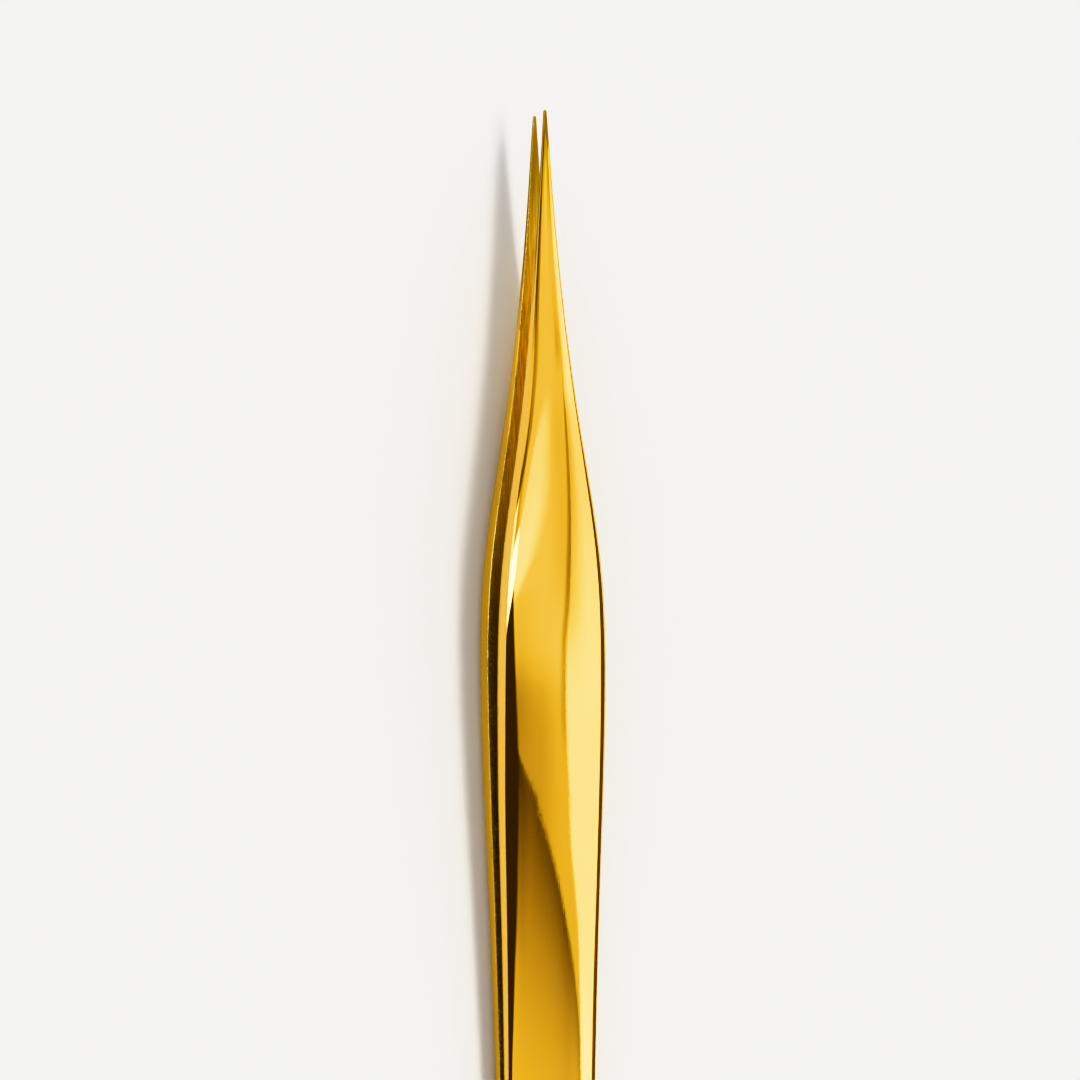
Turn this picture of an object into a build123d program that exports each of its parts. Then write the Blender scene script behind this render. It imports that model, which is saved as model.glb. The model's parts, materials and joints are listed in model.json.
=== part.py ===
"""Straight fine-pointed stamp tongs: two sprung half-round blades spot-welded at the tail.

The tongs lie on a table on the lower blade, touching it with the tail and the belly. X runs
across the blades, Y along them towards the tips, Z up. The origin is on the table, under the
middle of the tongs. Everything is drawn on the centre plane, the mirror plane between the two
blades, which leans with the tongs by rest_pitch. On it, y is measured from the tail end.
"""

import os
from math import atan, cos, sin

from build123d import *

# Overall
length = 120.0  # tail end to tips
weld_zone = 14.0  # the blades touch from the tail end to here
flexure_y = 24.0  # where each blade is taken to bend
widest_y = 66.0  # the belly, where the fingers press

# Blade stations: distance from the tail end, blade width, height of the upright side edge,
# height of the crown over it, and lift of the inner face above the centre plane (half the gap).
# The negative lift in the weld zone is cut off at the centre plane, so the blades meet flat.
stations = [
    (0.0, 7.30, 0.88, 0.35, -0.18),
    (weld_zone, 7.75, 0.72, 0.38, -0.04),
    (flexure_y, 8.08, 0.72, 0.42, 0.18),
    (36.0, 8.45, 0.86, 0.50, 0.42),
    (48.0, 9.00, 1.05, 0.66, 0.57),
    (58.0, 9.60, 1.25, 0.82, 0.70),
    (widest_y, 9.86, 1.40, 0.92, 0.88),
    (74.0, 9.68, 1.45, 0.95, 1.03),
    (80.0, 8.72, 1.45, 0.90, 1.07),
    (86.0, 6.98, 1.36, 0.80, 1.06),
    (92.0, 5.15, 1.14, 0.66, 1.02),
    (99.0, 3.50, 0.78, 0.50, 0.97),
    (106.0, 2.23, 0.48, 0.36, 0.94),
    (113.0, 1.15, 0.32, 0.23, 0.92),
    (118.0, 0.50, 0.24, 0.13, 0.925),
    (length, 0.26, 0.16, 0.08, 0.93),
]
widest = 9.86
tail_width = 7.30
weld_zone_width = 7.75

# Tail: rounded corners, and a flat land ground on each outer face
tail_corner = 1.0
land_height = 0.95  # over the centre plane
land_length = 11.0  # the flat, up to the grinding wheel's run-out
run_out_length = 6.0
run_out_rise = 0.6

# Spot welds: fused discs, half in each blade
weld_centres = (4.0, 9.5)
weld_radius = 1.3
weld_height = 1.1  # through both blades

# Clear of every blade, for cutting shapes
beyond = 6.0
corner_clearance = 0.02

# At rest the line from the tail's lower edge touches the belly of the lower blade
rest_slope = max(
    (lift + edge + crown - land_height) / y for y, _, edge, crown, lift in stations if y > 0
)
rest_pitch = atan(rest_slope)

centre_plane = Plane(
    origin=(0, -length / 2 * cos(rest_pitch), land_height * cos(rest_pitch)),
    x_dir=(1, 0, 0),
    z_dir=(0, -sin(rest_pitch), cos(rest_pitch)),
)
# down the middle of the tongs, with its x axis towards the tips and its y axis off the table
side_plane = Plane(
    origin=centre_plane.origin, x_dir=centre_plane.y_dir, z_dir=centre_plane.x_dir
)


def across(y, lift=0.0):
    """The plane square to the tongs at y, lifted off the centre plane."""
    origin = centre_plane.from_local_coords(Vector(0, y, lift))
    return Plane(origin=origin, x_dir=centre_plane.x_dir, z_dir=-centre_plane.y_dir)


def weld_planes():
    """The planes on which the weld discs stand, half their height below the centre plane."""
    for y in weld_centres:
        origin = centre_plane.from_local_coords(Vector(0, y, -weld_height / 2))
        yield Plane(origin=origin, x_dir=centre_plane.x_dir, z_dir=centre_plane.z_dir)


# The spot welds
with BuildPart() as spot_welds:
    for plane in weld_planes():
        with BuildSketch(plane):
            Circle(weld_radius)
        extrude(amount=weld_height)

# The upper blade in one piece, before it is divided at its flexure
with BuildPart() as blade:
    # half-round sections: flat inner face, upright side edges and an elliptical crown
    for y, width, edge, crown, lift in stations:
        with BuildSketch(across(y, lift)):
            with BuildLine():
                inner = Line((-width / 2, 0), (width / 2, 0))
                right = Line(inner @ 1, (width / 2, edge))
                left = Line((-width / 2, edge), inner @ 0)
                EllipticalCenterArc((0, edge), width / 2, crown, start_angle=0, arc_size=180)
            make_face()
    loft()
    split(bisect_by=centre_plane, keep=Keep.TOP)
    # plan outline: it clears the blade all round except at the rounded tail corners
    with BuildSketch(centre_plane):
        with BuildLine():
            tail_x = tail_width / 2 + corner_clearance
            neck_x = weld_zone_width / 2 + corner_clearance
            front_x, front_y = widest / 2 + 1, length + 1
            right_side = Polyline(
                (tail_x, 0), (neck_x, weld_zone), (front_x, weld_zone), (front_x, front_y)
            )
            mirror(right_side, about=Plane.YZ)
            Line((-tail_x, 0), (tail_x, 0))
            Line((-front_x, front_y), (front_x, front_y))
        face = make_face()
        fillet(face.vertices().group_by(Axis.Y)[0], tail_corner)
    extrude(amount=beyond, mode=Mode.INTERSECT)
    # the land and its run-out
    with BuildSketch(side_plane):
        with BuildLine():
            flat = Line((-1, land_height), (land_length, land_height))
            run_out_end = (land_length + run_out_length, land_height + run_out_rise)
            TangentArc(flat @ 1, run_out_end, tangent=flat % 1)
            Polyline(run_out_end, (run_out_end[0], beyond), (-1, beyond), flat @ 0)
        make_face()
    extrude(amount=beyond, both=True, mode=Mode.SUBTRACT)
    # seats of the spot welds
    add(spot_welds.part, mode=Mode.SUBTRACT)

# Tail and arm of the upper blade, face to face at the flexure
with BuildPart() as upper_blade_tail:
    add(blade.part)
    split(bisect_by=across(flexure_y), keep=Keep.TOP)

with BuildPart() as upper_blade_arm:
    add(blade.part)
    split(bisect_by=across(flexure_y), keep=Keep.BOTTOM)

# The lower blade is the same blade turned over
with BuildPart() as lower_blade_tail:
    add(mirror(upper_blade_tail.part, about=centre_plane, mode=Mode.PRIVATE))

with BuildPart() as lower_blade_arm:
    add(mirror(upper_blade_arm.part, about=centre_plane, mode=Mode.PRIVATE))

spot_welds.part.label = "spot_welds"
upper_blade_tail.part.label = "upper_blade_tail"
upper_blade_arm.part.label = "upper_blade_arm"
lower_blade_tail.part.label = "lower_blade_tail"
lower_blade_arm.part.label = "lower_blade_arm"

os.makedirs("parts", exist_ok=True)
export_step(spot_welds.part, "parts/spot_welds.step")
export_step(upper_blade_tail.part, "parts/upper_blade_tail.step")
export_step(upper_blade_arm.part, "parts/upper_blade_arm.step")
export_step(lower_blade_tail.part, "parts/lower_blade_tail.step")
export_step(lower_blade_arm.part, "parts/lower_blade_arm.step")
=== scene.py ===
"""Gold-plated stamp tongs lying on a pale table, seen along the blades from the tail."""

import json
import math

import bpy
import numpy as np
from mathutils import Matrix, Vector


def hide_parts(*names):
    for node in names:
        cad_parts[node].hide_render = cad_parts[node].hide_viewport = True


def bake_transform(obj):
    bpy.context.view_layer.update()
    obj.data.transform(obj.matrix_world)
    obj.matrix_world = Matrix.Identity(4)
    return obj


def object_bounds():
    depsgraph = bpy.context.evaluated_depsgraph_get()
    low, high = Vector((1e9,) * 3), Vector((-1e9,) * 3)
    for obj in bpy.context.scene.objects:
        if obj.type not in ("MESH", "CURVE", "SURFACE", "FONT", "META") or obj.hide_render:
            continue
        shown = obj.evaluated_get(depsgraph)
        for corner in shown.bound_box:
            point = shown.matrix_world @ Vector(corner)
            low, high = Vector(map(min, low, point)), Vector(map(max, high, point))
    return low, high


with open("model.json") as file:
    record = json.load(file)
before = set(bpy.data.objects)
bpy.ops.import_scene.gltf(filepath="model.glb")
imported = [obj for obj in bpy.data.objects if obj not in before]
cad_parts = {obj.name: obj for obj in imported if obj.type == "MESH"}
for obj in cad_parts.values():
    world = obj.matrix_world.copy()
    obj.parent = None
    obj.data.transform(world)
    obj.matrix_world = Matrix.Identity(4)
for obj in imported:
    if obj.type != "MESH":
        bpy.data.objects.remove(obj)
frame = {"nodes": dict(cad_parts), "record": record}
cad_bounds = [list(map(float, corner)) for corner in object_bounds()]

MM = 0.001

# ---------------------------------------------------------------------------------------
# The tongs' own frame: the plane between the blades, with y measured from the tail end
# ---------------------------------------------------------------------------------------
LAND_MOUNT_Y = 5.5  # where the record measures the two lands, mm from the tail end

lands = {m["name"]: m for m in frame["record"]["mounts"]}
up_off_plane = Vector(lands["tail_land_top"]["axis"]).normalized()
across_axis = Vector((1, 0, 0))
along_axis = up_off_plane.cross(across_axis).normalized()
between_lands = (
    Vector(lands["tail_land_top"]["pos_m"]) + Vector(lands["tail_land_bottom"]["pos_m"])
) / 2
tail_end = between_lands - along_axis * LAND_MOUNT_Y * MM
land_height = (Vector(lands["tail_land_top"]["pos_m"]) - between_lands).length / MM


def to_row(points):
    """Points in mm in the tongs' own frame, as points in metres in the row frame."""
    axes = np.array([across_axis, along_axis, up_off_plane])
    return np.asarray(points, float) @ axes * MM + np.array(tail_end)


# ---------------------------------------------------------------------------------------
# Blade shape, in mm
# ---------------------------------------------------------------------------------------
LENGTH = 120.0
# each row: distance from the tail, width, height of the side edge, height of the crown, and how far
# the inner face is lifted off the plane between the blades. The same stations as in part.py: measured
# in the photograph, turned into mm by a program, then chosen, rounded and adjusted
STATIONS = np.array(
    [
        (0.0, 7.30, 0.88, 0.35, -0.18),
        (14.0, 7.75, 0.72, 0.38, -0.04),
        (24.0, 8.08, 0.72, 0.42, 0.18),
        (36.0, 8.45, 0.86, 0.50, 0.42),
        (48.0, 9.00, 1.05, 0.66, 0.57),
        (58.0, 9.60, 1.25, 0.82, 0.70),
        (66.0, 9.86, 1.40, 0.92, 0.88),
        (74.0, 9.68, 1.45, 0.95, 1.03),
        (80.0, 8.72, 1.45, 0.90, 1.07),
        (86.0, 6.98, 1.36, 0.80, 1.06),
        (92.0, 5.15, 1.14, 0.66, 1.02),
        (99.0, 3.50, 0.78, 0.50, 0.97),
        (106.0, 2.23, 0.48, 0.36, 0.94),
        (113.0, 1.15, 0.32, 0.23, 0.92),
        (118.0, 0.50, 0.24, 0.13, 0.925),
        (LENGTH, 0.26, 0.16, 0.08, 0.93),
    ]
)
TAIL_CORNER = 1.0
LAND_LENGTH = 11.0
RUN_OUT_RADIUS = (6.0**2 + 0.6**2) / (2 * 0.6)  # the grinding wheel's run-out
INNER_ROUND = 0.035  # radius on the edges of the inner face
END_ROUND = 0.12  # radius round the tail's end face
TRIM_ROUND = 0.08  # radius where the tail's rounded corners meet the crown
TIP_ROUND = 0.13
LAND_SOFT = 0.006  # how softly the lands meet the crown
PLANE_SOFT = 0.02  # how softly the inner face leaves the weld zone

TOP_POINTS = 73
WALL_POINTS = 3
ARC_POINTS = 6
FACE_POINTS = 9
CORNER_RINGS = 26
TIP_RINGS = 8
BODY_STEP = 0.5  # mm from ring to ring
POINT_STEP = 0.25
POINT_START = 110  # where the needle point begins


def natural_spline(x, values, at):
    """Natural cubic splines through the columns of values, at the places at."""
    h = np.diff(x)
    slope = np.diff(values, axis=0) / h[:, None]
    n = len(x)
    a = np.zeros((n, n))
    b = np.zeros((n, values.shape[1]))
    a[0, 0] = a[-1, -1] = 1
    for i in range(1, n - 1):
        a[i, i - 1 : i + 2] = h[i - 1], 2 * (h[i - 1] + h[i]), h[i]
        b[i] = 6 * (slope[i] - slope[i - 1])
    m = np.linalg.solve(a, b)
    i = np.clip(np.searchsorted(x, at) - 1, 0, n - 2)
    d, hi = (at - x[i])[:, None], h[i][:, None]
    return (
        values[i]
        + d * (slope[i] - hi * (2 * m[i] + m[i + 1]) / 6)
        + d**2 * m[i] / 2
        + d**3 * (m[i + 1] - m[i]) / (6 * hi)
    )


def soft_min(a, b, k):
    return (a + b - np.sqrt((a - b) ** 2 + k**2)) / 2


def soft_max(a, b, k):
    return (a + b + np.sqrt((a - b) ** 2 + k**2)) / 2


def ring_places():
    """How far from the tail each of the blade's rings is. They crowd at the corners and the tip."""
    corner = TAIL_CORNER * (1 - np.cos(np.linspace(0, math.pi / 2, CORNER_RINGS)))
    body = np.arange(TAIL_CORNER + BODY_STEP / 2, POINT_START, BODY_STEP)
    point = np.arange(POINT_START, LENGTH - TIP_ROUND, POINT_STEP)
    tip = LENGTH - TIP_ROUND + TIP_ROUND * np.sin(np.linspace(0, 0.47 * math.pi, TIP_RINGS))
    return np.concatenate([corner, body, point, tip])


def tail_outline(y, half):
    """The half width limited by the tail's rounded corners, how much the rounded end face pulls each
    ring in, and how much of each ring is trimmed by the corners, from 0 to 1."""
    back = np.clip(TAIL_CORNER - y, 0, TAIL_CORNER)
    plan = half - TAIL_CORNER + np.sqrt(TAIL_CORNER**2 - back**2)
    end_back = np.clip(END_ROUND - y, 0, END_ROUND)
    inset = END_ROUND - np.sqrt(END_ROUND**2 - end_back**2)
    trimmed = np.clip((half - plan) / TAIL_CORNER * 6, 0, 1)
    return plan - inset, inset, trimmed


def outer_face(y, half, edge_z, crown, limit, inset, trimmed):
    """The x and z of the points across the crowned face of each ring, from one side to the other."""
    past = np.clip(y - LAND_LENGTH, 0, RUN_OUT_RADIUS * 0.5)
    land = land_height + RUN_OUT_RADIUS - np.sqrt(RUN_OUT_RADIUS**2 - past**2)
    x = limit[:, None] * np.cos(np.linspace(0, math.pi, TOP_POINTS))
    bow = np.sqrt(np.clip(1 - (x / half[:, None]) ** 2, 0, 1))
    crown_z = edge_z[:, None] + crown[:, None] * bow
    z = soft_min(crown_z, land[:, None], LAND_SOFT) - inset[:, None]
    # round the trimmed edge at the tail's corners
    r = (TRIM_ROUND * trimmed)[:, None]
    near = np.clip(r - (limit[:, None] - np.abs(x)), 0, r)
    return x, z - (r - np.sqrt(np.maximum(r**2 - near**2, 0)))


def lower_half(half, top, bottom, radius):
    """The x and z of the points down one side, across the inner face and up the other side."""
    quarter = np.linspace(0, math.pi / 2, ARC_POINTS)
    wall_z = np.linspace(top, bottom + radius, WALL_POINTS + 2)[1:-1]
    wall_x = np.full(WALL_POINTS, half)
    arc_x = half - radius + radius * np.cos(quarter)
    arc_z = bottom + radius - radius * np.sin(quarter)
    face_x = np.linspace(radius - half, half - radius, FACE_POINTS + 2)[1:-1]
    face_z = np.full(FACE_POINTS, bottom)
    x = np.concatenate([-wall_x, -arc_x, face_x, arc_x[::-1], wall_x])
    z = np.concatenate([wall_z, arc_z, face_z, arc_z[::-1], wall_z[::-1]])
    return x, z


def blade_rings():
    """Rings of points round the upper blade."""
    y = ring_places()
    width, edge, crown, lift = natural_spline(STATIONS[:, 0], STATIONS[:, 1:], y).T
    half = width / 2
    limit, inset, trimmed = tail_outline(y, half)
    base = soft_max(lift, 0, PLANE_SOFT) + inset
    top_x, top_z = outer_face(y, half, lift + edge, crown, limit, inset, trimmed)
    radius = np.minimum(INNER_ROUND, 0.3 * np.minimum(limit, top_z[:, 0] - base))

    rows = []
    for i in range(len(y)):
        low_x, low_z = lower_half(limit[i], top_z[i, 0], base[i], radius[i])
        x = np.concatenate([top_x[i], low_x])
        z = np.concatenate([top_z[i], low_z])
        rows.append(np.column_stack([x, np.full(len(x), y[i]), z]))
    rows = np.array(rows)

    # round the tip
    ahead = np.clip((y - (LENGTH - TIP_ROUND)) / TIP_ROUND, 0, 1)
    shrink = np.sqrt(1 - ahead**2)[:, None]
    middle = ((top_z.max(axis=1) + base) / 2)[:, None]
    rows[..., 0] *= shrink
    rows[..., 2] = middle + (rows[..., 2] - middle) * shrink
    return rows, trimmed


def edge_wear(rows, trimmed):
    """How much of a worn edge each point is, from 0 to 1."""
    y = rows[:, 0, 1]
    wear = np.zeros(rows.shape[:2])
    crown_edge = np.abs(np.cos(np.linspace(0, math.pi, TOP_POINTS))) > 0.995
    wear[:, :TOP_POINTS] = np.where(crown_edge, 0.4, 0)
    first = TOP_POINTS + WALL_POINTS
    second = first + ARC_POINTS + FACE_POINTS
    wear[:, first : first + ARC_POINTS] = 1
    wear[:, second : second + ARC_POINTS] = 1
    across = np.abs(rows[..., 0])
    corner = across > across.max(axis=1)[:, None] - 0.1
    at_tip = np.clip((y - (LENGTH - 1.5)) / 1.5, 0, 1)[:, None] * 0.7
    at_tail = np.clip(1 - y / 0.3, 0, 1)[:, None] * 0.8
    for more in (0.8 * trimmed[:, None] * corner, at_tip, at_tail):
        wear = np.maximum(wear, more)
    return wear


def inner_face(rows):
    """How much of the inner face each point is, from 0 to 1."""
    share = np.zeros(rows.shape[:2])
    first = TOP_POINTS + WALL_POINTS
    second = first + ARC_POINTS + FACE_POINTS
    share[:, first : first + ARC_POINTS] = np.linspace(0, 1, ARC_POINTS)
    share[:, first + ARC_POINTS : second] = 1
    share[:, second : second + ARC_POINTS] = np.linspace(1, 0, ARC_POINTS)
    return share


def side_walls(rows):
    """How much of a side wall each point is, from 0 to 1."""
    share = np.zeros(rows.shape[:2])
    share[:, TOP_POINTS : TOP_POINTS + WALL_POINTS] = 1
    share[:, -WALL_POINTS:] = 1
    return share


def blade_mesh(name, upper):
    rows, trimmed = blade_rings()
    n_rings, n_round = rows.shape[:2]
    points = list(rows.reshape(-1, 3))
    wear = list(edge_wear(rows, trimmed).ravel())
    inner = inner_face(rows)
    sides = side_walls(rows)
    faces = []
    for i in range(n_rings - 1):
        for j in range(n_round):
            k = (j + 1) % n_round
            a, b = i * n_round, (i + 1) * n_round
            faces.append((a + j, a + k, b + k, b + j))
    # the tail's end face: two smaller rings and a centre
    centre = rows[0].mean(axis=0)
    previous = 0
    for share in (0.94, 0.5):
        start = len(points)
        points += list(centre + (rows[0] - centre) * (share, 1, share))
        wear += [0.5] * n_round
        for j in range(n_round):
            k = (j + 1) % n_round
            faces.append((previous + k, previous + j, start + j, start + k))
        previous = start
    points.append(centre)
    wear.append(0.5)
    for j in range(n_round):
        faces.append((previous + (j + 1) % n_round, previous + j, len(points) - 1))
    # the tip
    tip = rows[-1].mean(axis=0)
    tip[1] = LENGTH
    points.append(tip)
    wear.append(0.7)
    last = (n_rings - 1) * n_round
    for j in range(n_round):
        faces.append((last + j, last + (j + 1) % n_round, len(points) - 1))

    points = np.array(points)
    if not upper:
        points[:, 2] *= -1
        faces = [f[::-1] for f in faces]
    mesh = bpy.data.meshes.new(name)
    mesh.from_pydata(to_row(points).tolist(), [], faces)
    mesh.validate()
    mesh.update()
    mesh.shade_smooth()
    marks = {"edge_wear": wear, "inner_face": inner, "side_wall": sides}
    for label, values in marks.items():
        flat = np.ravel(values)
        attribute = mesh.attributes.new(label, "FLOAT", "POINT")
        padded = np.pad(flat, (0, len(points) - flat.size)).astype(np.float32)
        attribute.data.foreach_set("value", padded)
    obj = bpy.data.objects.new(name, mesh)
    bpy.context.scene.collection.objects.link(obj)
    return obj


# ---------------------------------------------------------------------------------------
# Node helpers
# ---------------------------------------------------------------------------------------
class Nodes:
    """Short ways to add nodes to a tree and link them."""

    def __init__(self, tree):
        self.tree = tree
        self.tree.nodes.clear()

    def put(self, socket, value):
        if isinstance(value, bpy.types.NodeSocket):
            self.tree.links.new(value, socket)
        else:
            socket.default_value = value

    def node(self, kind, settings=None, **inputs):
        node = self.tree.nodes.new(kind)
        for key, value in (settings or {}).items():
            setattr(node, key, value)
        for key, value in inputs.items():
            self.put(node.inputs[key.replace("_", " ")], value)
        return node

    def math(self, operation, *values):
        node = self.tree.nodes.new("ShaderNodeMath")
        node.operation = operation
        for socket, value in zip(node.inputs, values):
            self.put(socket, value)
        return node.outputs[0]

    def both(self, *masks):
        product = masks[0]
        for mask in masks[1:]:
            product = self.math("MULTIPLY", product, mask)
        return product

    def less(self, value, other):
        return self.math("SUBTRACT", value, other)

    def dot(self, vector, axis):
        node = self.tree.nodes.new("ShaderNodeVectorMath")
        node.operation = "DOT_PRODUCT"
        self.put(node.inputs[0], vector)
        self.put(node.inputs[1], tuple(axis))
        return node.outputs["Value"]

    def step(self, value, low, high, out_low=0.0, out_high=1.0):
        node = self.tree.nodes.new("ShaderNodeMapRange")
        node.interpolation_type = "SMOOTHSTEP"
        for socket, v in zip(node.inputs, (value, low, high, out_low, out_high)):
            self.put(socket, v)
        return node.outputs[0]

    def window(self, value, low, high, soft_low, soft_high=None):
        """1 between low and high, falling to 0 over soft on each side."""
        soft_high = soft_low if soft_high is None else soft_high
        rise = self.step(value, low - soft_low, low + soft_low)
        fall = self.step(value, high - soft_high, high + soft_high, 1.0, 0.0)
        return self.math("MULTIPLY", rise, fall)

    def curve(self, value, points):
        """The height, at value, of a smooth curve drawn through the points."""
        places, heights = np.array(points, float).T
        low, high = heights.min(), heights.max()
        share = self.tree.nodes.new("ShaderNodeMapRange")
        for socket, v in zip(share.inputs, (value, places[0], places[-1], 0.0, 1.0)):
            self.put(socket, v)
        node = self.tree.nodes.new("ShaderNodeFloatCurve")
        self.put(node.inputs["Value"], share.outputs[0])
        line = node.mapping.curves[0]
        shares = (places - places[0]) / (places[-1] - places[0])
        levels = (heights - low) / (high - low)
        line.points[0].location = (0.0, levels[0])
        line.points[1].location = (1.0, levels[-1])
        for x, y in zip(shares[1:-1], levels[1:-1]):
            line.points.new(x, y)
        for point in line.points:
            point.handle_type = "AUTO_CLAMPED"
        node.mapping.update()
        height = self.tree.nodes.new("ShaderNodeMapRange")
        for socket, v in zip(height.inputs, (node.outputs[0], 0.0, 1.0, low, high)):
            self.put(socket, v)
        return height.outputs[0]

    def mix(self, share, a, b):
        node = self.tree.nodes.new("ShaderNodeMix")
        node.data_type = "FLOAT"
        for socket, v in zip(node.inputs[:1] + node.inputs[2:4], (share, a, b)):
            self.put(socket, v)
        return node.outputs[0]

    def mix_colour(self, share, a, b):
        node = self.tree.nodes.new("ShaderNodeMix")
        node.data_type = "RGBA"
        self.put(node.inputs[0], share)
        self.put(node.inputs[6], a)
        self.put(node.inputs[7], b)
        return node.outputs[2]

    def noise(self, vector, scale, detail=3.0, roughness=0.5, distortion=0.0):
        node = self.node(
            "ShaderNodeTexNoise",
            Vector=vector,
            Scale=scale,
            Detail=detail,
            Roughness=roughness,
            Distortion=distortion,
        )
        return node.outputs["Fac"]

    def stretch(self, vector, scale):
        return self.node("ShaderNodeMapping", Vector=vector, Scale=scale).outputs[0]


def new_material(name):
    material = bpy.data.materials.new(name)
    material.use_nodes = True
    return material, Nodes(material.node_tree)


# ---------------------------------------------------------------------------------------
# Materials
# ---------------------------------------------------------------------------------------
def finish_material(n, **inputs):
    shader = n.node("ShaderNodeBsdfPrincipled", **inputs)
    out = n.node("ShaderNodeOutputMaterial")
    n.tree.links.new(shader.outputs[0], out.inputs["Surface"])


def gold_material():
    """Gold plate: a mirror with fine lengthwise polish lines, faint smudges, duller tips and dull
    beaded edges, painted shade on the tips and a painted dark reflection on the side walls near the tips.
    The inner faces are ground lengthwise before plating, so they are satin, with painted shade
    towards the tail, deep in the gap between the blades."""
    material, n = new_material("gold_plate")
    place = n.node("ShaderNodeTexCoord").outputs["Object"]
    along = n.less(n.dot(place, along_axis), tail_end.dot(along_axis))
    lines = n.noise(n.stretch(place, (9000, 90, 9000)), 1.0, 3, 0.6)
    scratches = n.noise(n.stretch(place, (26000, 700, 26000)), 1.0, 2, 0.5)
    grinding = n.noise(n.stretch(place, (7000, 45, 7000)), 1.0, 4, 0.65)
    beads = n.noise(place, 3200.0, 2, 0.6)
    smudges = n.noise(place, 240.0, 3, 0.55, 0.3)
    tarnish = n.noise(place, 95.0, 2, 0.5)
    edge, inner, side = (
        n.node("ShaderNodeAttribute", {"attribute_name": label}).outputs["Fac"]
        for label in ("edge_wear", "inner_face", "side_wall")
    )
    # painted shade mask: 0 towards the tail, where the inner faces get a painted shade deep in the gap
    # between the blades, 1 towards the tips
    clear_of_gap_shade = n.step(along, 0.070, 0.090)
    # painted dark reflection on the side walls near the tips, a little uneven
    painted_dark_reflection = n.both(side, n.step(along, 0.099, 0.107), n.step(smudges, 0.3, 0.6, 0.75, 0.95))
    # painted shade on the tips, stronger on the inner faces
    painted_tip_shade = n.both(n.step(along, 0.106, 0.117), n.mix(inner, 0.55, 0.95))
    worn = n.both(edge, n.step(smudges, 0.35, 0.7, 0.3, 1.0))

    plate = n.mix_colour(n.step(tarnish, 0.3, 0.7), (1.0, 0.64, 0.10, 1), (1.0, 0.66, 0.12, 1))
    ground = n.mix_colour(n.step(grinding, 0.38, 0.62), (0.60, 0.385, 0.085, 1), (1.0, 0.655, 0.16, 1))
    # painted shade: the inner faces' ground colour darkens towards the tail, deep in the gap between the
    # blades
    ground = n.mix_colour(clear_of_gap_shade, (0.36, 0.20, 0.04, 1), ground)
    beaded = n.mix_colour(n.step(beads, 0.45, 0.7), (0.42, 0.24, 0.07, 1), (0.90, 0.62, 0.22, 1))
    colour = n.mix_colour(inner, plate, ground)
    # painted shade: dark brown on the tips
    colour = n.mix_colour(painted_tip_shade, colour, (0.30, 0.165, 0.015, 1))
    # painted dark reflection: dark brown on the side walls near the tips
    colour = n.mix_colour(painted_dark_reflection, colour, (0.22, 0.10, 0.02, 1))
    colour = n.mix_colour(n.both(worn, 0.9), colour, beaded)

    polished = n.step(smudges, 0.45, 0.8, 0.014, 0.030)
    for more in (n.step(lines, 0.5, 0.8, 0.0, 0.010), n.both(worn, 0.30)):
        polished = n.math("ADD", polished, more)
    rough = n.mix(inner, polished, n.step(grinding, 0.3, 0.7, 0.50, 0.38))

    bump = None
    for strength, depth, height in (
        (0.035, 0.00002, lines),
        (0.03, 0.00001, scratches),
        (n.both(inner, 0.5), 0.00002, grinding),
    ):
        below = {} if bump is None else {"Normal": bump}
        node = n.node("ShaderNodeBump", Strength=strength, Distance=depth, Height=height, **below)
        bump = node.outputs[0]
    metal = n.mix(n.both(inner, clear_of_gap_shade), 1.0, 0.75)
    finish_material(n, Base_Color=colour, Metallic=metal, Roughness=rough, Normal=bump)
    return material


def weld_material():
    """Fused steel: satin, mottled, with a coarse frozen ripple."""
    material, n = new_material("fused_steel")
    place = n.node("ShaderNodeTexCoord").outputs["Object"]
    mottle = n.noise(place, 1600.0, 4, 0.6)
    ripple = n.noise(place, 4200.0, 3, 0.55)
    colour = n.mix_colour(n.step(mottle, 0.35, 0.65), (0.42, 0.40, 0.38, 1), (0.58, 0.56, 0.53, 1))
    rough = n.step(ripple, 0.3, 0.7, 0.30, 0.50)
    bump = n.node("ShaderNodeBump", Strength=0.4, Distance=0.00005, Height=ripple).outputs[0]
    finish_material(n, Base_Color=colour, Metallic=1.0, Roughness=rough, Normal=bump)
    return material


def floor_material():
    """Plain pale card with a very fine tooth."""
    material, n = new_material("pale_card")
    place = n.node("ShaderNodeTexCoord").outputs["Object"]
    tooth = n.noise(place, 3000.0, 2, 0.5)
    cloud = n.noise(place, 9.0, 2, 0.5)
    colour = n.mix_colour(n.step(cloud, 0.3, 0.7), (0.845, 0.84, 0.835, 1), (0.865, 0.86, 0.855, 1))
    rough = n.step(tooth, 0.3, 0.7, 0.55, 0.65)
    finish_material(n, Base_Color=colour, Roughness=rough, Specular_IOR_Level=0.0)
    return material
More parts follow.
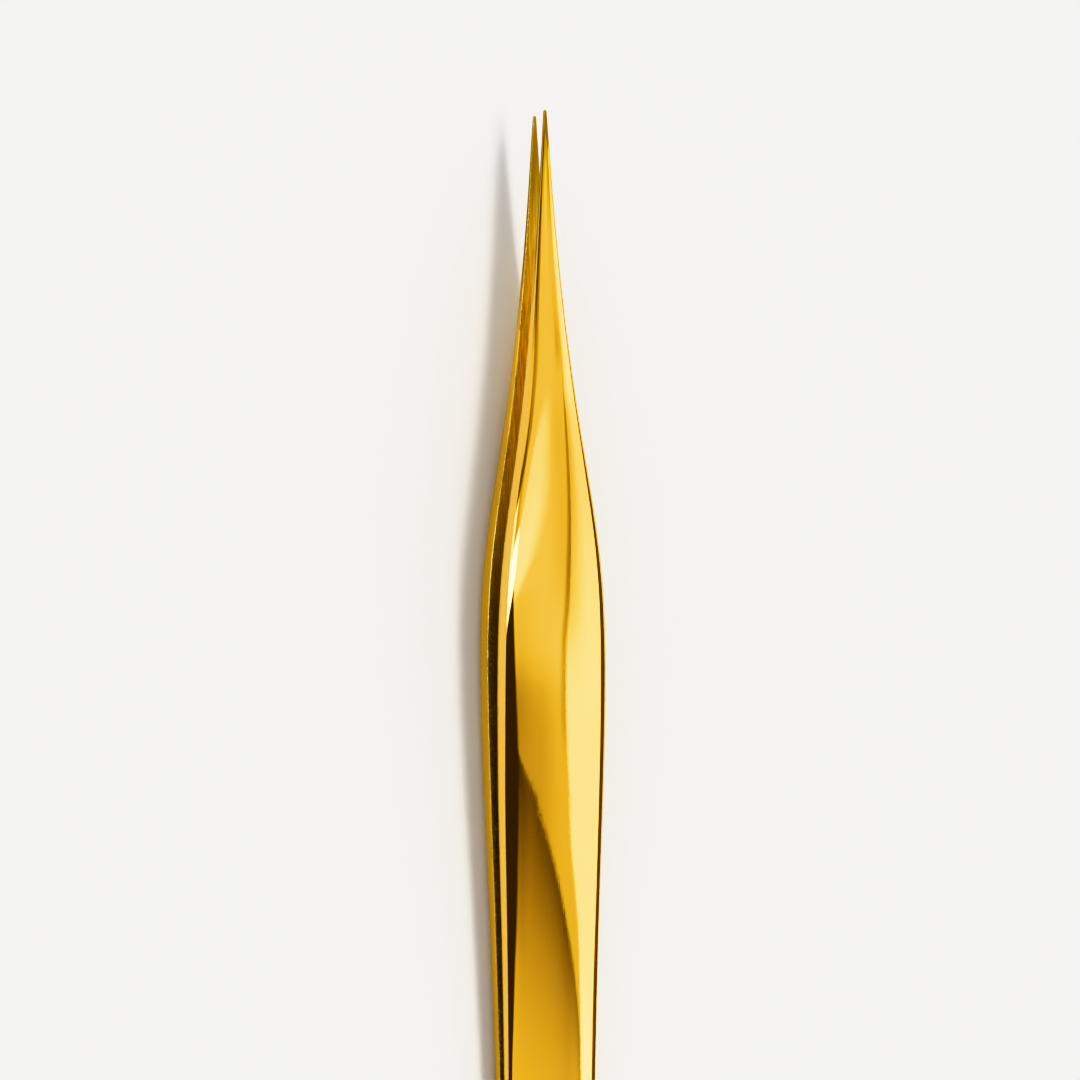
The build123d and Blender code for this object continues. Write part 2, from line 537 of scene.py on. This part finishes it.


# ---------------------------------------------------------------------------------------
# Studio: soft boxes and black flags round the tongs, painted in the world's directions
#
# This is not a plain soft studio, and apart from far_boxes its numbers were not chosen by hand.
# The lines, levels and tints were worked out by a program from the photograph's reflections, for this
# shape of blade. They were then thinned, rounded and adjusted.
# ---------------------------------------------------------------------------------------
class Studio:
    """The light from every direction, painted as one shape over another.

    turn is the angle round the tongs' long axis, from straight up towards +X. rise is the angle
    towards the tips. Both are in degrees. A line is a list of (rise, turn) or (turn, rise) points."""

    def __init__(self, nodes):
        self.n = nodes
        way = nodes.node("ShaderNodeTexCoord").outputs["Generated"]
        dx, dy, dz = (nodes.dot(way, axis) for axis in (across_axis, along_axis, up_off_plane))
        self.turn = nodes.both(nodes.math("ARCTAN2", dx, dz), 180 / math.pi)
        self.rise = nodes.both(nodes.math("ARCSINE", dy), 180 / math.pi)
        self.light = None

    def right_of(self, line):
        """Degrees of turn past a line of (rise, turn) points."""
        return self.n.less(self.turn, self.n.curve(self.rise, line))

    def above(self, line):
        """Degrees of rise past a line of (turn, rise) points."""
        return self.n.less(self.rise, self.n.curve(self.turn, line))

    def paint(self, mask, level):
        self.light = self.n.mix(mask, self.light, level)

    def patch(self, turns, rises, level):
        """A soft-edged rectangle. turns and rises are from, to and the softness of the edges."""
        mask = self.n.both(self.n.window(self.turn, *turns), self.n.window(self.rise, *rises))
        self.paint(mask, level)

    def tent(self):
        """The white tent over everything, a little uneven towards the soft box and the flag."""
        n = self.n
        base = [(-30, 0.8), (-9, 0.66), (-5, 0.5), (1, 0.72), (5, 0.86), (12, 0.86), (19, 0.8), (40, 0.8)]
        by_box = [(-12, 0.0), (-1, 0.16), (4, 0.0), (9, -0.18), (15, -0.15), (20, 0.0)]
        by_flag = [(-6, 0.0), (3, 0.16), (7, 0.0)]
        near_box = n.both(n.step(self.turn, 18, 30), n.curve(self.rise, by_box))
        near_flag = n.both(n.step(self.turn, 0, 22, 1.0, 0.0), n.curve(self.rise, by_flag))
        self.light = n.less(n.math("ADD", n.curve(self.rise, base), near_box), near_flag)

    def glow(self):
        """A soft lamp behind the middle of the tent."""
        n = self.n
        left = self.right_of([(11, -24), (14, -17), (16, -11), (19, 0), (20, 8)])
        right = self.right_of([(6.5, -4), (7.5, 3), (9, 11), (11, 15.5), (13, 18), (17, 20)])
        sides = n.both(n.step(left, -4, 6), n.step(right, -9, 5, 1.0, 0.0))
        mask = n.both(sides, n.window(self.rise, 7.2, 18.8, 0.9, 1.0))
        self.paint(mask, n.step(self.rise, 10, 18, 1.95, 1.45))

    def table_shadow(self):
        """The dim lens shape low over the tail, dark at its upper edge."""
        n = self.n
        low_turn = [(-12, -3.3), (2, -3.6), (10, -4.15), (18, -4.6), (26, -5.15), (30, -5.65)]
        high_turn = [(36.5, -7.1), (38.5, -8.3), (41, -10.5)]
        stretched = n.node("ShaderNodeCombineXYZ", X=self.turn, Y=n.both(self.rise, 0.12)).outputs[0]
        streaks = n.less(n.noise(stretched, 0.9, 3, 0.6), 0.5)
        ragged = n.both(streaks, n.step(self.turn, 12, 30, 0.26, 0.06))
        under = n.less(ragged, self.above(low_turn + high_turn))
        level = n.curve(under, [(0, 0.12), (1, 0.3), (2, 0.44), (4, 0.6), (6, 0.68), (12, 0.76)])
        level = n.math("ADD", level, n.step(self.turn, 31, 37, 0.0, 0.13))
        darker = n.both(n.step(self.turn, 6, 16, 0.12, 0.0), n.window(under, 0.3, 2.2, 0.3, 1.2))
        sides = n.both(n.window(self.turn, -20, 39, 2, 0.6), n.step(self.rise, -34, -22))
        self.paint(n.both(n.step(under, -0.06, 0.08), sides), n.less(level, darker))

    def black_flag(self):
        """A black flag low on the left, greyer behind the tail."""
        n = self.n
        right = self.right_of([(-14, -20), (-9, -6.5), (-7, 0), (-5, 4), (-3, 0.5), (2, -8), (7, -18)])
        top = self.above([(-100, 5.5), (-30, 7.4), (-20, 8.4), (-14, 7)])
        inside = n.both(n.step(right, -2.5, 2.0, 1.0, 0.0), n.step(top, -0.7, 0.5, 1.0, 0.0))
        ends = n.both(n.step(self.turn, -150, -120), n.step(self.rise, -85, -70))
        self.paint(n.both(inside, ends), n.step(self.rise, -42, -20, 0.36, 0.05))

    def bright_strip(self):
        """A bright strip light on the left, in front of a dimmer box."""
        n = self.n
        self.patch((-60, -24, 14, 8), (14, 21, 0.8, 0.6), 0.50)
        self.patch((-125, -52, 10, 10), (13.5, 20.8, 0.8, 0.5), 3.2)
        low = self.above([(-100, 6), (-30, 8), (-20, 9.2), (-14, 11)])
        inside = n.both(n.step(low, -0.4, 0.6), n.step(self.rise, 13, 15, 1.0, 0.0))
        self.paint(n.both(inside, n.window(self.turn, -76, -17.5, 6, 3)), 10.0)

    def dark_bands(self):
        """Dark bands that cross beyond the tips."""
        self.patch((-150, -24, 8, 5), (20.7, 23.6, 0.5, 0.8), 0.14)
        self.patch((33, 62, 4, 4), (19.2, 20.8, 0.4, 0.4), 0.26)
        self.patch((-14, 78, 6, 8), (21.7, 29, 0.6, 2.0), 0.46)
        self.patch((20, 42, 4, 4), (20.4, 27, 0.5, 1.0), 0.30)
        self.patch((-28, -12, 5, 5), (20.8, 30, 0.6, 2.0), 0.36)

    def dim_wall(self):
        """The dim wall beyond the soft box."""
        n = self.n
        wall = [(-20, 0.22), (-5, 0.2), (1, 0.48), (3, 0.5), (5, 0.24), (14, 0.2), (16, 0.5), (19, 0.75)]
        mask = n.both(n.window(self.turn, 48, 165, 2, 10), n.window(self.rise, -40, 21, 10, 1))
        before = self.light
        self.light = n.curve(self.rise, wall)
        self.patch((60, 92, 8, 8), (-30, 16, 6, 1.5), 0.11)
        self.patch((78, 175, 4, 5), (13, 23, 1.5, 1.0), 0.14)
        self.light = n.mix(mask, before, self.light)

    def soft_box(self):
        """The large soft box on the right, with a thin dark frame."""
        n = self.n
        low_left = [(-12, 39.5), (-6.5, 38), (-5.3, 35.7), (-4.4, 32.6), (-2.5, 30.8), (1.5, 30.2)]
        high_left = [(5, 32), (10.5, 35.4), (15.5, 39), (18.5, 43), (19.2, 47)]
        left = self.right_of(low_left + high_left)
        right = self.right_of([(-12, 49), (-7, 53), (-3, 61), (3, 62), (12, 68), (15, 71), (19, 80)])
        rim = n.both(n.window(left, -2.6, 0.4, 1.2, 0.5), n.window(self.rise, -3, 18.5, 1.5, 1.0))
        self.paint(rim, n.step(self.rise, 1, 8, 0.50, 0.33))
        levels = [(-14, 3.6), (-9, 3.4), (-5, 2.1), (0, 2.1), (8, 1.75), (16.5, 1.35), (18.5, 2.3)]
        by_rim = n.mix(n.step(self.rise, -1, 5), 1.0, n.step(left, 0, 13, 0.48, 1.0))
        sides = n.both(n.step(left, -0.5, 0.7), n.step(right, -1.5, 2.5, 1.0, 0.0))
        mask = n.both(sides, n.window(self.rise, -75, 19.2, 10, 0.4))
        self.paint(mask, n.both(n.curve(self.rise, levels), by_rim))

    def far_boxes(self):
        """A second set of boxes and flags beyond the tips, for the views from other sides."""
        ahead = (30, 90, 3, 1)
        self.patch((-150, -105, 8, 8), ahead, 1.3)
        self.patch((-95, -30, 10, 10), ahead, 0.32)
        self.patch((36, 70, 7, 7), ahead, 2.1)
        self.patch((78, 120, 8, 8), ahead, 0.30)

    def colour(self):
        """Dim places are warm and bright places are white."""
        n = self.n
        size = n.math("LOGARITHM", self.light, 10.0)
        green = [(-1.4, 0.76), (-0.7, 0.8), (-0.1, 0.97), (0.05, 1.06), (0.3, 1.12), (1.15, 1.5)]
        blue = [(-1.4, 1.1), (-0.35, 0.95), (-0.1, 0.7), (0.3, 0.5), (0.55, 0.55), (0.9, 1.3), (1.0, 1.9)]
        colour = n.node("ShaderNodeCombineColor")
        n.put(colour.inputs[0], self.light)
        n.put(colour.inputs[1], n.both(self.light, n.curve(size, green)))
        n.put(colour.inputs[2], n.both(self.light, n.curve(size, blue)))
        return colour.outputs[0]


def studio_world():
    """Mirrors see the painted studio. Matt surfaces see a plain dome with one broad soft light high on
    the right. The camera sees a plain pale background."""
    world = bpy.data.worlds.new("studio")
    bpy.context.scene.world = world
    world.use_nodes = True
    world.cycles.sampling_method = "NONE"
    n = Nodes(world.node_tree)
    studio = Studio(n)
    studio.tent()
    studio.glow()
    studio.table_shadow()
    studio.black_flag()
    studio.bright_strip()
    studio.dark_bands()
    studio.dim_wall()
    studio.soft_box()
    studio.far_boxes()
    mirrored = n.node("ShaderNodeBackground", Color=studio.colour()).outputs[0]

    key = n.both(n.window(studio.turn, 11, 22, 5), n.window(studio.rise, -35, 35, 15))
    white = (1.0, 1.0, 1.0, 1)
    dome = n.node("ShaderNodeBackground", Color=white, Strength=n.mix(key, 0.54, 7.2)).outputs[0]
    pale = n.node("ShaderNodeBackground", Color=(0.89, 0.89, 0.885, 1)).outputs[0]

    path = n.node("ShaderNodeLightPath").outputs
    from_matt = n.math("GREATER_THAN", path["Diffuse Depth"], 0.5)
    shader = mirrored
    for share, other in ((from_matt, dome), (path["Is Camera Ray"], pale)):
        choose = n.node("ShaderNodeMixShader")
        for socket, value in zip(choose.inputs, (share, shader, other)):
            n.put(socket, value)
        shader = choose.outputs[0]
    out = n.node("ShaderNodeOutputWorld")
    n.put(out.inputs["Surface"], shader)


def floor_object(material):
    """A flat card that ends far outside every view."""
    half, steps = 3.0, 24
    line = np.linspace(-half, half, steps + 1)
    points = [(x, y, 0.0) for y in line for x in line]
    row = steps + 1
    corners = [i + j * row for j in range(steps) for i in range(steps)]
    faces = [(first, first + 1, first + row + 1, first + row) for first in corners]
    mesh = bpy.data.meshes.new("studio_floor")
    mesh.from_pydata(points, [], faces)
    mesh.materials.append(material)
    obj = bpy.data.objects.new("studio_floor", mesh)
    bpy.context.scene.collection.objects.link(obj)
    lowest = cad_bounds[0][2]
    obj.location = (0, 0, lowest)


def camera():
    """It stands over the tail, to the left of the blades, and the blades rise up the picture."""
    turn, tilt, roll = math.radians(27), math.radians(7), math.radians(-0.35)
    lens, sensor = 85.0, 36.0
    aim_y, aim_right, distance = 81.12, -0.2, 225.66  # mm
    back = (
        -math.sin(turn) * math.cos(tilt) * across_axis
        - math.sin(tilt) * along_axis
        + math.cos(turn) * math.cos(tilt) * up_off_plane
    )
    right = math.cos(turn) * across_axis + math.sin(turn) * up_off_plane
    upward = back.cross(right)
    aim = tail_end + (along_axis * aim_y + right * aim_right) * MM
    data = bpy.data.cameras.new("camera")
    data.type = "PERSP"
    data.lens, data.sensor_width = lens, sensor
    data.clip_start, data.clip_end = 0.005, 20
    obj = bpy.data.objects.new("camera", data)
    bpy.context.scene.collection.objects.link(obj)
    axes = Matrix((right, upward, back)).transposed().to_4x4()
    stand = Matrix.Translation(aim + back * distance * MM)
    obj.matrix_world = stand @ axes @ Matrix.Rotation(roll, 4, "Z")
    bpy.context.scene.camera = obj


# ---------------------------------------------------------------------------------------
# Build
# ---------------------------------------------------------------------------------------
scene = bpy.context.scene
scene.view_settings.view_transform = "Khronos PBR Neutral"
scene.view_settings.look = "High Contrast"

gold = gold_material()
weld = weld_material()

for side in ("upper", "lower"):
    piece = blade_mesh(f"{side}_blade", side == "upper")
    piece.data.materials.append(gold)
    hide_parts(f"{side}_blade_tail", f"{side}_blade_arm")
    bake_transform(piece)

spots = frame["nodes"]["spot_welds"]
spots.data.materials.clear()
spots.data.materials.append(weld)
for side in ("upper", "lower"):
    for part in ("tail", "arm"):
        hidden = frame["nodes"][f"{side}_blade_{part}"]
        hidden.data.materials.clear()
        hidden.data.materials.append(gold)

floor_object(floor_material())
studio_world()
camera()
